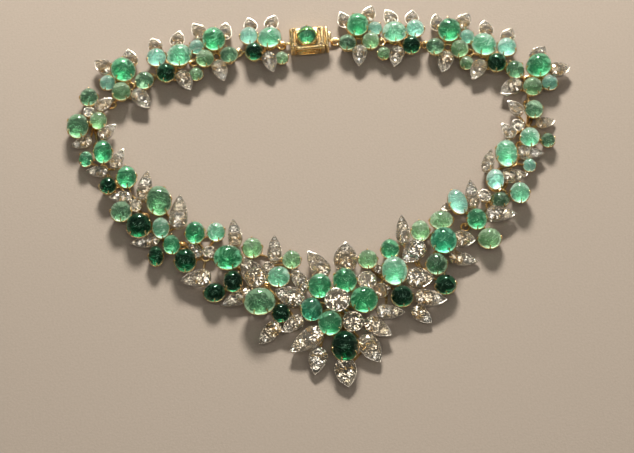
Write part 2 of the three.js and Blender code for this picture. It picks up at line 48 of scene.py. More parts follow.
# ------------------------------------------------------------------ placements, as in the CAD source
# gems: x, y, width, length, turn, level, tone. leaves: x, y, length, width, direction, level. rounds: x, y, diameter, level.
FRONT = {
    "centre": {
        "at": (0.4, -26.4),
        "gems": [(-4.8, -21.4, 7.3, 7.9, 0, 2, 'm'), (3.0, -20.2, 7.3, 7.9, 0, 2, 'm'), (-7.9, -28.5, 6.7, 7.5, 0, 1, 'k'), (-2.8, -34.1, 7.2, 7.8, 0, 2, 'm'), (8.2, -27.2, 8.5, 8.2, 0, 2, 'm'), (1.0, -41.6, 8.2, 9.6, 0, 1, 'dd')],
        "leaves": [(-10.6, -38.6, 12.1, 6.6, -150, 1), (-7.6, -45.0, 8.9, 5.7, -105, 0), (0.6, -49.7, 9.4, 6.9, -85, 0), (8.9, -42.6, 10.2, 6.6, -62, 0), (11.7, -36.2, 9.6, 5.7, -34, 1), (4.0, -11.5, 10.4, 7.4, 83, 1), (-4.9, -13.0, 10.6, 5.8, 120, 1)],
        "rounds": [(-0.0, -27.1, 7.3, 3), (4.2, -33.4, 6.3, 1)],
    },
    "left_1": {
        "at": (-16.5, -23.8),
        "gems": [(-17.0, -16.6, 7.0, 6.6, 0, 1, 'l'), (-23.4, -25.1, 9.7, 8.5, 0, 2, 'd'), (-17.2, -28.5, 5.5, 5.9, 0, 0, 'dd')],
        "leaves": [(-10.7, -18.1, 8.9, 4.9, 121, 1), (-14.3, -23.3, 10.1, 6.6, 151, 1), (-14.3, -32.9, 8.1, 4.8, -150, 1), (-21.4, -34.7, 9.1, 5.4, -139, 0)],
        "rounds": [],
    },
    "left_2": {
        "at": (-25.8, -12.5),
        "gems": [(-12.6, -11.1, 5.8, 5.9, 0, 1, 'y'), (-24.3, -6.0, 6.2, 6.6, 0, 1, 'y'), (-32.0, -9.3, 8.9, 7.9, 0, 2, 'm'), (-31.0, -17.0, 5.8, 6.9, 0, 1, 'dd'), (-36.9, -19.8, 6.7, 5.9, 0, 0, 'dd')],
        "leaves": [(-17.5, -6.7, 9.4, 4.6, 86, 1), (-25.1, -14.0, 11.7, 7.0, 116, 1), (-30.6, -22.1, 10.6, 5.2, -161, 0)],
        "rounds": [(-19.8, -12.2, 2.8, 0)],
    },
    "left_3": {
        "at": (-38.8, -6.4),
        "gems": [(-35.1, 0.5, 5.6, 6.0, 0, 1, 'l'), (-41.6, 0.8, 6.2, 7.3, 0, 1, 'm'), (-45.1, -8.6, 6.8, 7.6, 0, 1, 'dd')],
        "leaves": [(-29.4, -0.0, 9.6, 4.6, 92, 1), (-42.4, -14.7, 9.8, 5.8, -179, 1), (-42.2, -4.1, 6.9, 3.7, 120, 0)],
        "rounds": [(-37.5, -5.5, 3.7, 0)],
    },
    "left_4": {
        "at": (-52.8, 3.0),
        "gems": [(-52.0, 3.4, 5.3, 7.0, 0, 1, 'l'), (-49.0, -2.7, 5.2, 6.3, 0, 1, 'm'), (-58.8, 4.8, 7.8, 8.0, 0, 1, 'dd'), (-54.1, -5.7, 4.6, 6.7, 0, 0, 'dd'), (-52.1, 12.3, 7.8, 10.1, 0, 2, 'd')],
        "leaves": [(-46.1, 8.9, 12.1, 5.9, 84, 1), (-57.3, 0.0, 9.4, 4.7, -179, 0)],
        "rounds": [],
    },
    "left_5": {
        "at": (-61.1, 16.0),
        "gems": [(-64.1, 10.2, 6.6, 6.7, 0, 1, 'd'), (-61.8, 22.4, 6.3, 7.5, 0, 1, 'm'), (-67.8, 19.8, 5.3, 5.4, 0, 1, 'dd')],
        "leaves": [(-56.1, 19.1, 10.9, 5.0, 79, 1), (-64.2, 15.7, 7.6, 4.1, 172, 1)],
        "rounds": [(-59.5, 12.7, 3.8, 0)],
    },
    "left_6": {
        "at": (-69.3, 27.7),
        "gems": [(-68.8, 32.2, 6.0, 7.9, 0, 1, 'm'), (-74.4, 30.6, 4.5, 5.1, 0, 0, 'm')],
        "leaves": [(-64.1, 29.4, 7.5, 4.1, 64, 1), (-71.3, 26.3, 7.5, 4.1, 166, 0)],
        "rounds": [],
    },
    "left_7": {
        "at": (-71.7, 44.8),
        "gems": [(-76.5, 42.3, 7.1, 8.3, 0, 1, 'd'), (-69.9, 43.8, 5.5, 5.9, 0, 1, 'y'), (-72.6, 52.8, 5.8, 5.9, 0, 1, 'd')],
        "leaves": [(-67.0, 39.8, 7.1, 4.2, 39, 1), (-75.8, 37.0, 7.2, 4.2, -171, 0), (-67.6, 50.0, 6.9, 4.2, 33, 1)],
        "rounds": [(-72.8, 47.6, 3.2, 1)],
    },
    "right_1": {
        "at": (15.8, -19.8),
        "gems": [(10.7, -13.0, 6.1, 6.0, 0, 1, 'y'), (17.9, -10.1, 5.8, 6.3, 0, 1, 'm'), (18.4, -18.3, 7.9, 9.2, 0, 2, 'l'), (19.9, -26.5, 6.7, 6.9, 0, 1, 'dd')],
        "leaves": [(14.1, -23.1, 6.6, 5.2, 17, 0), (16.0, -31.2, 8.8, 4.9, -3, 1)],
        "rounds": [(9.8, -19.9, 5.5, 1), (14.0, -15.9, 2.8, 0)],
    },
    "right_2": {
        "at": (27.6, -17.5),
        "gems": [(31.6, -16.5, 6.7, 6.9, 0, 1, 'd'), (33.6, -23.2, 6.7, 6.3, 0, 0, 'dd')],
        "leaves": [(22.5, -3.4, 10.2, 4.6, 87, 1), (24.8, -11.7, 9.3, 6.5, -140, 1), (26.1, -20.5, 9.2, 6.9, -5, 1), (28.8, -27.7, 10.1, 5.8, -9, 1), (25.5, -32.6, 7.8, 4.9, -45, 0)],
        "rounds": [],
    },
    "right_3": {
        "at": (37.7, -5.9),
        "gems": [(27.9, -4.6, 5.9, 6.7, 0, 1, 'y'), (34.8, -1.4, 7.5, 6.0, 0, 1, 'y'), (34.6, -9.2, 8.3, 8.3, 0, 2, 'k')],
        "leaves": [(41.3, -8.3, 7.5, 5.6, -7, 1), (40.5, -14.7, 9.6, 4.9, -11, 0)],
        "rounds": [],
    },
    "right_4": {
        "at": (46.9, 0.0),
        "gems": [(40.5, 3.9, 5.6, 8.7, 20, 2, 't'), (45.8, -2.0, 6.2, 7.0, 0, 1, 'm'), (49.0, -8.6, 7.4, 6.7, 0, 0, 'y')],
        "leaves": [(37.3, 4.0, 4.4, 3.1, -177, 0), (53.8, -0.5, 9.7, 5.3, -2, 1), (45.4, 7.3, 10.1, 4.7, 90, 1)],
        "rounds": [],
    },
    "right_5": {
        "at": (55.4, 8.1),
        "gems": [(54.0, 4.7, 6.0, 4.7, 0, 0, 'd'), (53.2, 10.9, 5.7, 6.8, 0, 2, 't'), (60.4, 6.1, 6.3, 6.8, 0, 1, 'l')],
        "leaves": [(60.0, 12.8, 8.7, 4.7, 3, 1)],
        "rounds": [(49.4, 6.3, 3.8, 1)],
    },
    "right_6": {
        "at": (60.2, 18.8),
        "gems": [(57.9, 19.9, 7.0, 9.2, 0, 2, 'l'), (64.9, 16.2, 4.1, 4.4, 0, 0, 't')],
        "leaves": [(52.2, 18.6, 8.7, 4.1, 72, 1), (66.0, 20.4, 8.9, 4.5, -7, 1)],
        "rounds": [],
    },
    "right_7": {
        "at": (66.5, 30.8),
        "gems": [(66.2, 25.8, 6.4, 6.5, 0, 1, 'l'), (72.0, 24.8, 4.5, 4.8, 0, 0, 'd'), (69.0, 36.0, 5.8, 6.2, 0, 1, 'd')],
        "leaves": [(59.6, 28.9, 6.6, 4.2, 117, 1), (72.4, 31.8, 6.9, 4.2, 12, 0), (63.1, 37.3, 6.5, 4.2, 125, 1)],
        "rounds": [(63.2, 30.8, 3.8, 1)],
    },
}
# x, y, direction of the chain in degrees, scale
BACK = {
    "right_8": (69.2, 49.0, 120.4, 1.0),
    "right_9": (58.3, 58.4, 152.2, 0.98),
    "right_10": (44.7, 63.6, 164.0, 0.96),
    "right_11": (30.4, 66.8, 170.8, 0.94),
    "right_12": (15.9, 68.4, 175.8, 0.92),
    "left_8": (-59.4, 57.7, 29.4, 1.0),
    "left_9": (-45.6, 63.4, 16.6, 0.975),
    "left_10": (-31.0, 66.7, 9.4, 0.95),
    "left_11": (-16.1, 68.4, 4.3, 0.925),
}
PATTERNS = [
    {"gems": [(0.4, 4.2, 7.8, 8.6, 'm', 2), (-4.2, -1.8, 6.2, 6.2, 'y', 1), (4.1, -2.4, 6.2, 5.8, 'd', 1), (-5.8, 4.1, 5.2, 5.2, 't', 0)],
     "leaves": [(-2.6, 6.4, -5.2, 13.2, 5.2, 1), (3.8, 4.6, 6.4, 11.8, 5.2, 0), (-0.5, -3.7, 0.3, -11.9, 5.4, 1)]},
    {"gems": [(-3.8, 4.0, 6.4, 6.4, 't', 1), (3.3, 1.2, 8.4, 7.6, 'l', 2), (-2.9, -2.9, 6.2, 6.6, 'dd', 1), (6.4, -6.3, 4.6, 4.6, 'y', 0)],
     "leaves": [(-2.4, 6.0, -2.6, 12.8, 5.0, 0), (3.5, 5.2, 6.9, 11.2, 5.0, 1), (1.5, -3.9, 2.7, -11.9, 5.2, 1)]},
]


def back_link(row, pattern, side):
    x, y, deg, scale = row
    a = math.radians(deg)
    t = (math.cos(a), math.sin(a))
    n = (t[1], -t[0]) if side > 0 else (-t[1], t[0])

    def put(u, v):
        return x + (t[0] * u + n[0] * v) * scale, y + (t[1] * u + n[1] * v) * scale

    gems = [(*put(u, v), w * scale, l * scale, deg, level, tone) for u, v, w, l, tone, level in pattern["gems"]]
    leaves = []
    for u0, v0, u1, v1, w, level in pattern["leaves"]:
        b, e = put(u0, v0), put(u1, v1)
        leaves.append(((b[0] + e[0]) / 2, (b[1] + e[1]) / 2, math.dist(b, e), w * scale,
                       math.degrees(math.atan2(e[1] - b[1], e[0] - b[0])), level))
    return {"at": (x, y), "gems": gems, "leaves": leaves, "rounds": []}


LINKS = dict(FRONT)
for name, row in BACK.items():
    side, number = name.split("_")
    LINKS[name] = back_link(row, PATTERNS[int(number) % 2], 1 if side == "right" else -1)
CHAIN = [f"left_{i}" for i in range(11, 0, -1)] + ["centre"] + [f"right_{i}" for i in range(1, 13)]
JOINTS = []
for a, b in zip(CHAIN, CHAIN[1:]):
    p, q = LINKS[a]["at"], LINKS[b]["at"]
    JOINTS.append(((p[0] + q[0]) / 2, (p[1] + q[1]) / 2))
CLASP_Y = 69.0
CLASP_LEFT, CLASP_RIGHT, CLASP_HALF, CLASP_TOP = -6.6, 4.6, 4.2, 4.6
CLASP_JOINTS = (-9.4, 8.3)
ALL_GEMS = [(n, i, g) for n in CHAIN for i, g in enumerate(LINKS[n]["gems"])]


def cad_name(link):
    return "centre_cluster" if link == "centre" else link.replace("_", "_link_")


# ------------------------------------------------------------------ mesh helpers, millimetres
class Build:
    """Collects closed shells in millimetres and makes one mesh object of them."""

    def __init__(self):
        self.v, self.f, self.m, self.s = [], [], [], []
        self.attr = {}

    def add(self, verts, faces, mat=0, smooth=True, **attr):
        o = len(self.v)
        for key, value in attr.items():
            self.attr.setdefault(key, {})[o] = (len(verts), value)
        self.v.extend(verts)
        self.f.extend([tuple(i + o for i in f) for f in faces])
        self.m.extend([mat] * len(faces))
        self.s.extend([smooth] * len(faces))

    def make(self, name, materials, slot, sharp=None, replaces=()):
        me = bpy.data.meshes.new(name)
        me.from_pydata([((x - CENTRE_X) * MM, (y - CENTRE_Y) * MM, z * MM) for x, y, z in self.v], [], self.f)
        me.polygons.foreach_set("material_index", self.m)
        me.polygons.foreach_set("use_smooth", self.s)
        for key, spans in self.attr.items():
            layer = me.attributes.new(key, "FLOAT", "POINT")
            values = [0.0] * len(self.v)
            for o, (n, value) in spans.items():
                values[o:o + n] = value if isinstance(value, list) else [value] * n
            layer.data.foreach_set("value", values)
        for m in materials:
            me.materials.append(m)
        me.update()
        if sharp is not None:
            me.set_sharp_from_angle(angle=math.radians(sharp))
        ob = bpy.data.objects.new(name, me)
        bpy.context.scene.collection.objects.link(ob)
        if replaces:
            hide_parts(*replaces)
        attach(ob, "root")
        return ob


def loft(b, loops, mat=0, smooth=True, closed=False, cap0=False, cap1=False):
    """Quads between loops of the same length; caps fan to a middle point."""
    n = len(loops[0])
    verts = [p for lp in loops for p in lp]
    faces = []
    count = len(loops)
    for k in range(count if closed else count - 1):
        a, c = k * n, ((k + 1) % count) * n
        for i in range(n):
            j = (i + 1) % n
            faces.append((a + i, a + j, c + j, c + i))
    if cap0:
        verts.append(tuple(sum(p[k] for p in loops[0]) / n for k in range(3)))
        m = len(verts) - 1
        faces += [(m, (i + 1) % n, i) for i in range(n)]
    if cap1:
        verts.append(tuple(sum(p[k] for p in loops[-1]) / n for k in range(3)))
        m, o = len(verts) - 1, (count - 1) * n
        faces += [(m, o + i, o + (i + 1) % n) for i in range(n)]
    b.add(verts, faces, mat, smooth)


def tube(b, path, radius, n=8, closed=False, mat=0, flat=1.0):
    """A round wire along a path, with rounded ends where it is open. radius is one number or one per point."""
    pts = [Vector(p) for p in path]
    rad = list(radius) if isinstance(radius, (list, tuple)) else [radius] * len(pts)
    m = len(pts)
    tang = []
    for i in range(m):
        a = pts[(i - 1) % m] if closed or i > 0 else pts[i]
        c = pts[(i + 1) % m] if closed or i < m - 1 else pts[i]
        tang.append((c - a).normalized())
    up = Vector((0, 0, 1)) if abs(tang[0].z) < 0.9 else Vector((1, 0, 0))
    side = tang[0].cross(up).normalized()
    loops = []
    for i in range(m):
        side = (side - tang[i] * side.dot(tang[i])).normalized()
        top = side.cross(tang[i])
        ring = lambda c, r: [tuple(c + side * (math.cos(2 * math.pi * k / n) * r) + top * (math.sin(2 * math.pi * k / n) * r * flat)) for k in range(n)]
        if not closed and i == 0:
            for d, s in ((0.96, 0.3), (0.6, 0.8)):
                loops.append(ring(pts[i] - tang[i] * rad[i] * d, rad[i] * s))
        loops.append(ring(pts[i], rad[i]))
        if not closed and i == m - 1:
            for d, s in ((0.6, 0.8), (0.96, 0.3)):
                loops.append(ring(pts[i] + tang[i] * rad[i] * d, rad[i] * s))
    loops = [lp[::-1] for lp in loops]
    loft(b, loops, mat, True, closed, not closed, not closed)


def ball(b, c, r, n=8, rings=5, mat=0, squash=1.0):
    loops = []
    for k in range(1, rings):
        a = math.pi * k / rings
        loops.append([(c[0] + r * math.sin(a) * math.cos(2 * math.pi * i / n), c[1] + r * math.sin(a) * math.sin(2 * math.pi * i / n),
                       c[2] - r * squash * math.cos(a)) for i in range(n)])
    loft(b, loops, mat, True, False, True, True)


def oval_point(cx, cy, a, c, turn, angle):
    """Point of the oval with half widths a, c at a true direction from its middle."""
    r = a * c / math.hypot(c * math.cos(angle), a * math.sin(angle))
    ct, st = math.cos(math.radians(turn)), math.sin(math.radians(turn))
    x, y = r * math.cos(angle), r * math.sin(angle)
    return cx + x * ct - y * st, cy + x * st + y * ct


def oval_loop(cx, cy, a, c, turn, z, n, wobble=None):
    ct, st = math.cos(math.radians(turn)), math.sin(math.radians(turn))
    out = []
    for i in range(n):
        t = 2 * math.pi * i / n
        k = 1 + (wobble(t) if wobble else 0)
        x, y = a * k * math.cos(t), c * k * math.sin(t)
        out.append((cx + x * ct - y * st, cy + x * st + y * ct, z))
    return out


# ------------------------------------------------------------------ stones
def brilliant(b, c, d, axis=None, spin=0.0, mat=0):
    """A round brilliant: table, crown, faceted girdle, pavilion. c is the middle of its girdle. No two sit quite alike.
    The larger ones have half as many facets again, and a pavilion is cut shallower where its full depth would reach the
    table."""
    axis = Vector(axis or (0, 0, 1)) + Vector((random.uniform(-0.06, 0.06), random.uniform(-0.06, 0.06), 0))
    n = 12 if d > 3.6 else 8
    step, half = 360 / n, 180 / n
    rt = 0.268
    h_crown = (0.5 - rt) * math.tan(math.radians(34))
    g = 0.03
    v = []
    pol = lambda r, deg, z: (r * math.cos(math.radians(deg)), r * math.sin(math.radians(deg)), z)
    top = g / 2 + h_crown
    v += [pol(rt, step * k, top) for k in range(n)]                                  # table
    rs = 0.385
    zs = top - (rs * math.cos(math.radians(half)) - rt) * math.tan(math.radians(34)) * 0.84
    v += [pol(rs, step * k + half, zs) for k in range(n)]                            # star and kite meet
    v += [pol(0.5, half * k, g / 2) for k in range(2 * n)]                           # girdle top
    v += [pol(0.5, half * k, -g / 2) for k in range(2 * n)]                          # girdle bottom
    rp = 0.125
    slope = math.tan(math.radians(40.75)) * min(1.0, (c[2] - 0.34) / (0.447 * d))
    v += [pol(rp, step * k + half, -g / 2 - (0.5 - rp * math.cos(math.radians(half))) * slope) for k in range(n)]
    v.append((0, 0, -g / 2 - 0.5 * slope))                                           # culet
    ug, lg, pv, culet = 2 * n, 4 * n, 6 * n, 7 * n
    f = [tuple(range(n))]
    for k in range(n):
        k1, gk, gm, gn = (k + 1) % n, ug + 2 * k, ug + 2 * k + 1, ug + (2 * k + 2) % (2 * n)
        f.append((k, n + k, k1))                                                     # star
        f.append((k, n + (k - 1) % n, gk, n + k))                                    # kite
        f += [(n + k, gk, gm), (n + k, gm, gn)]                                      # upper girdle
        lo, lm, ln = gk + 2 * n, gm + 2 * n, gn + 2 * n
        f += [(gk, lo, lm, gm), (gm, lm, ln, gn)]
        f += [(lo, pv + k, lm), (lm, pv + k, ln)]                                    # lower girdle
        f.append((lo, pv + (k - 1) % n, culet, pv + k))                              # pavilion main
    ax = axis.normalized()
    q = Vector((0, 0, 1)).rotation_difference(ax)
    cs, sn = math.cos(spin), math.sin(spin)
    out = []
    for x, y, z in v:
        p = q @ Vector(((x * cs - y * sn) * d, (x * sn + y * cs) * d, z * d))
        out.append((c[0] + p.x, c[1] + p.y, c[2] + p.z))
    b.add(out, f, mat, False, tint=random.random())


def cabochon_mesh(gem, rng, z=None, n=48):
    """A domed stone with a thin girdle and a shallow rounded back; slightly uneven, as they are cut by hand."""
    x, y, w, l, turn, level, tone = gem
    a, c, h = w / 2, l / 2, DOME * (w + l) / 2
    z = SEAT[level] if z is None else z
    p1, p2, p3 = (rng.uniform(0, 2 * math.pi) for _ in range(3))
    k1, k2 = rng.uniform(0.004, 0.014), rng.uniform(0.002, 0.008)
    full = rng.uniform(0.88, 0.98)
    lean = (rng.uniform(-0.03, 0.03), rng.uniform(-0.03, 0.03))
    hk = h * rng.uniform(0.93, 1.0)
    wobble = lambda t: -0.012 + k1 * math.sin(2 * t + p1) + k2 * math.sin(3 * t + p2) + k2 * 0.6 * math.sin(5 * t + p3)
    prof = [(0.30, -0.70), (0.56, -0.655), (0.76, -0.56), (0.89, -0.40), (0.965, -0.20), (0.995, -0.06), (1.0, 0.03)]
    rings = [(r, zz, 1) for r, zz in prof]
    steps = 15
    for k in range(1, steps):
        phi = math.pi / 2 * k / steps
        rings.append((math.cos(phi) ** full, None, phi))
    loops, rim, skip = [], [], []
    for r, zz, phi in rings:
        zv = zz if zz is not None else 0.03 + hk * math.sin(phi) ** 0.97
        lift = 0 if zz is not None else max(0.0, zv) / h
        lp = oval_loop(x + lean[0] * a * lift, y + lean[1] * c * lift, a * r, c * r, turn, z + zv, n, wobble)
        loops.append(lp)
        rim += [r] * n
    b = Build()
    m = len(loops)
    verts = [p for lp in loops for p in lp]
    faces = []
    for k in range(m - 1):
        for i in range(n):
            j = (i + 1) % n
            faces.append((k * n + i, k * n + j, (k + 1) * n + j, (k + 1) * n + i))
    under = 5 * n  # faces below the girdle
    verts.append((x, y, z - 0.715))
    verts.append((x + lean[0] * a * hk / h, y + lean[1] * c * hk / h, z + 0.03 + hk))
    over = [(len(verts) - 1, (m - 1) * n + i, (m - 1) * n + (i + 1) % n) for i in range(n)]
    below = [(len(verts) - 2, (i + 1) % n, i) for i in range(n)]
    b.add(verts, faces + over + below, 0, True, rim=rim + [0.0, 0.0], stone=rng.random())
    b.m = [1] * under + [0] * (len(faces) - under + n) + [1] * n
    return b


# ------------------------------------------------------------------ leaf settings
def leaf_half(L, W, inset, s):
    """Half width of the leaf's outline, moved in by inset, at the place s along it."""
    R, s0 = W / 2 - inset, -L / 2 + W / 2
    tip = L / 2 - 1.7 * inset
    if s <= s0:
        return math.sqrt(max(0.0, R * R - (s - s0) ** 2))
    u = min(1.0, (s - s0) / (tip - s0))
    return R * (1 - u ** 2.3)


def leaf_loop(L, W, inset, n1=12, n2=8):
    R, s0 = W / 2 - inset, -L / 2 + W / 2
    tip = L / 2 - 1.7 * inset
    half = []
    for i in range(n1 + 1):
        s = tip + (s0 - tip) * (i / n1) ** 0.9
        half.append((s, leaf_half(L, W, inset, s) if i else 0.0))
    for i in range(1, n2 + 1):
        a = math.pi / 2 * i / n2
        half.append((s0 - R * math.sin(a), R * math.cos(a) if i < n2 else 0.0))
    return half + [(s, -t) for s, t in reversed(half[1:-1])]


def pack_leaf(L, W, inset):
    """Round stones from the broad end to the tip, each as large as the outline lets it be."""
    s0 = -L / 2 + W / 2
    line = [(p[0], p[1]) for p in leaf_loop(L, W, inset, 60, 24)]
    room = lambda s: min(math.hypot(p[0] - s, p[1]) for p in line)
    out = [(s0, room(s0))]
    while True:
        ps, pr = out[-1]
        s = ps + pr
        found = None
        while s < L / 2 - inset:
            r = room(s)
            if s - r >= ps + pr + 0.05:
                found = (s, r)
                break
            s += 0.02
        if not found or found[1] < 0.42:
            return out
        out.append(found)


def grains(L, W, circles):
    """Beads raised from the plate: the largest that fit between the stones and the rim, then small ones at the edge of
    the stone at the broad end.
    """
    line = leaf_loop(L, W, 0.22, 40, 16)
    found = []
    step = 0.09
    cand = []
    nx, ny = int(L / step), int(W / step / 2)
    for i in range(nx + 1):
        for j in range(ny + 1):
            s, t = -L / 2 + i * step, j * step
            if t >= leaf_half(L, W, 0.22, s) - 0.05:
                continue
            room = min(math.hypot(s - p[0], t - p[1]) for p in line) + 0.05
            for cs, cr in circles:
                room = min(room, math.hypot(s - cs, t) - cr + 0.09)
                if room < 0.13:
                    break
            if room >= 0.13:
                cand.append((min(room, 0.27), s, t))
    cand.sort(key=lambda c: (-c[0], c[2], c[1]))
    for r, s, t in cand:
        if 0 < t < r * 0.9:
            continue
        if all(math.hypot(s - a, t - b) > (r + q) * 0.92 for a, b, q in found):
            found.append((s, t, r))
            if t > 0:
                found.append((s, -t, r))
    s0, r0 = circles[0]
    for ang in (180, 150, -150, 120, -120, 90, -90):
        a, b = s0 + (r0 + 0.02) * math.cos(math.radians(ang)), (r0 + 0.02) * math.sin(math.radians(ang))
        if all(math.hypot(a - c, b - d) > q + 0.2 for c, d, q in found):
            found.append((a, b, 0.17))
    return found


def leaf_setting(metal, gold, stones, leaf, hub, rng):
    x, y, L, W, deg, level = leaf
    a = math.radians(deg)
    tilt = math.atan2(LEAF_FALL * (0.4 if math.sin(a) > 0.3 else 1.0), L)
    circles = pack_leaf(L, W, 0.24)
    # a low leaf with a wide stone sits a little higher, so that the stone keeps its depth
    s, r = circles[0]
    girdle = LEAF_TOP[level] - (s + L / 2) * math.sin(tilt) - 0.06
    top = LEAF_TOP[level] + min(0.5, max(0.0, 0.34 + 0.9 * 0.447 * 2 * r - girdle))
    ca, sa, ct, st = math.cos(a), math.sin(a), math.cos(tilt), math.sin(tilt)

    def put(s, t, z):
        """Leaf's own place (along, across, up from the rim's top) to the ring's frame; it falls towards its tip."""
        k = s + L / 2
        ss, zz = -L / 2 + k * ct + z * st, top - k * st + z * ct
        return x + ss * ca - t * sa, y + ss * sa + t * ca, zz

    axis = (st * ca, st * sa, ct)
    depth = 0.95
    loops2 = [(0.34, -depth), (0.18, -depth + 0.05), (0.05, -0.45), (0.0, -0.14), (0.025, -0.04), (0.07, 0.0), (0.16, 0.0), (0.205, -0.04), (0.22, -0.42)]
    flat = [(leaf_loop(L, W, i), z) for i, z in loops2]
    n = len(flat[0][0])
    verts, faces = [], []
    for lp, z in flat:
        verts += [put(s, t, z) for s, t in lp]
    for k in range(len(flat) - 1):
        for i in range(n):
            j = (i + 1) % n
            faces.append((k * n + i, k * n + j, (k + 1) * n + j, (k + 1) * n + i))
    # the pierced seat plate, once on top and once underneath
    holes = [(s, max(0.25, r - 0.12)) for s, r in circles]
    base = [Vector(p) for p in flat[-1][0]]
    pts, edges, ring = list(base), [(i, (i + 1) % n) for i in range(n)], []
    HN = 16
    for s, r in holes:
        o = len(pts)
        ring.append(o)
        pts += [Vector((s + r * math.cos(2 * math.pi * i / HN), r * math.sin(2 * math.pi * i / HN))) for i in range(HN)]
        edges += [(o + i, o + (i + 1) % HN) for i in range(HN)]
    cv, _, cf, src, _, _ = geometry.delaunay_2d_cdt(pts, edges, [], 1, 1e-5)
    keep = []
    for f in cf:
        m = sum((cv[i] for i in f), Vector((0, 0))) / len(f)
        if all(math.hypot(m.x - s, m.y) > r * 0.985 for s, r in holes):
            keep.append(f)
    o_top, o_low = len(verts), len(verts) + len(cv)
    last = (len(flat) - 1) * n
    where = {}
    for i, s in enumerate(src):
        for k in s:
            where[k] = i
    # the plate's outer edge uses the same points as the last loop above and the first loop below
    top_index = [o_top + i for i in range(len(cv))]
    low_index = [o_low + i for i in range(len(cv))]
    for i in range(n):
        top_index[where[i]] = last + i
        low_index[where[i]] = i
    verts += [put(p.x, p.y, -0.42) for p in cv]
    verts += [put(p.x, p.y, -depth) for p in cv]
    for f in keep:
        faces.append(tuple(top_index[i] for i in f))
        faces.append(tuple(low_index[i] for i in reversed(f)))
    for o in ring:
        for i in range(HN):
            p, q = where[o + i], where[o + (i + 1) % HN]
            faces.append((top_index[q], top_index[p], low_index[p], low_index[q]))
    used = sorted({i for f in faces for i in f})
    new = {i: k for k, i in enumerate(used)}
    metal.add([verts[i] for i in used], [tuple(new[i] for i in f) for f in faces], 0, True)
    # stones, a little proud of the rim, and the grains that hold them
    for s, r in circles:
        brilliant(stones, put(s, 0, -0.06), 2 * (r - 0.015), axis, rng.uniform(0, 1))
    spots = grains(L, W, circles)
    for s, t, r in spots:
        ball(metal, put(s, t, 0.03 - r * 0.5), r, 7, 5)
    # lower rail and its posts
    if level:
        rail = [(s, t) for s, t in leaf_loop(L, W, 0.42)]
        tube(metal, [put(s, t, -depth - 0.62) for s, t in rail[::1]], 0.2, 6, True)
        for k in (0, 6, 13, 20, 27, 34):
            s, t = rail[k % len(rail)]
            tube(metal, [put(s * 0.985, t, -depth - 0.6), put(s, t, -depth + 0.1)], 0.19, 6)
    # the two feet down to the gallery
    s0 = -L / 2 + W * 0.5
    for t in (-W * 0.17, W * 0.17):
        p = put(s0, t, -depth + 0.1)
        q = put(s0 - 0.4, t * 0.7, 0)
        tube(gold, [(q[0], q[1], 0.5), ((p[0] + q[0]) / 2, (p[1] + q[1]) / 2, (0.5 + p[2]) / 2), p], 0.32, 6)
    return [(x + ca * (s0 - 0.4) - sa * t * 0.7, y + sa * (s0 - 0.4) + ca * t * 0.7) for t in (-W * 0.17, W * 0.17)]


# ------------------------------------------------------------------ collets and claws
def claw_angles(gem, own, rng, count):
    """Directions of the claws, turned so that as few as can be run into a neighbouring stone."""
    x, y, w, l, turn, level, tone = gem
    best, pick = None, None
    for k in range(18):
        start = 2 * math.pi / count * k / 18
        cost = 0
        for i in range(count):
            ang = start + 2 * math.pi * i / count
            px, py = oval_point(x, y, w / 2 + 0.2, l / 2 + 0.2, turn, ang)
            for name, j, g in ALL_GEMS:
                if g is gem or abs(g[0] - x) > 12 or abs(g[1] - y) > 12:
                    continue
                d = math.hypot(g[0] - px, g[1] - py) - (g[2] + g[3]) / 4
                if d < 0.35:
                    cost += (0.35 - d) ** 2 * (1 if SEAT[g[5]] >= SEAT[level] else 0.5)
        if best is None or cost < best - 1e-6:
            best, pick = cost, start
    return [pick + 2 * math.pi * i / count + rng.uniform(-0.08, 0.08) for i in range(count)]


def collet(gold, gem, rng, foot_z=0.5):
    x, y, w, l, turn, level, tone = gem
    a, c, h, z = w / 2, l / 2, DOME * (w + l) / 2, SEAT[level]
    n = 40
    size = (w + l) / 2
    wire = 0.2 + 0.008 * size
    tube(gold, oval_loop(x, y, a * 0.955, c * 0.955, turn, z - 0.40, n), wire, 8, True)
    mid = foot_z + (z - 0.40 - foot_z) * 0.45
    tube(gold, oval_loop(x, y, a * 0.70, c * 0.70, turn, mid, 28), 0.24, 6, True)
    tube(gold, oval_loop(x, y, a * 0.52, c * 0.52, turn, foot_z, 24), 0.34, 6, True)
    count = 4 if size < 7.4 else (5 if size < 8.8 else 6)
    r0 = 0.20 + 0.008 * size
    for ang in claw_angles(gem, None, rng, count):
        path, rad = [], []
        for k, zz, r in ((0.52, foot_z, r0), (0.72, mid, r0), (0.93, z - 0.42, r0)):
            px, py = oval_point(x, y, a * k, c * k, turn, ang)
            path.append((px, py, zz))
            rad.append(r)
        for phi in (2, 9, 15, 21, 26):
            p = math.radians(phi)
            px, py = oval_point(x, y, (a + 0.13) * math.cos(p) ** 0.95, (c + 0.13) * math.cos(p) ** 0.95, turn, ang)
            path.append((px, py, z + 0.05 + (h + 0.10) * math.sin(p)))
            rad.append(r0 * (1.0 - 0.006 * phi))
        tube(gold, path, rad, 8)


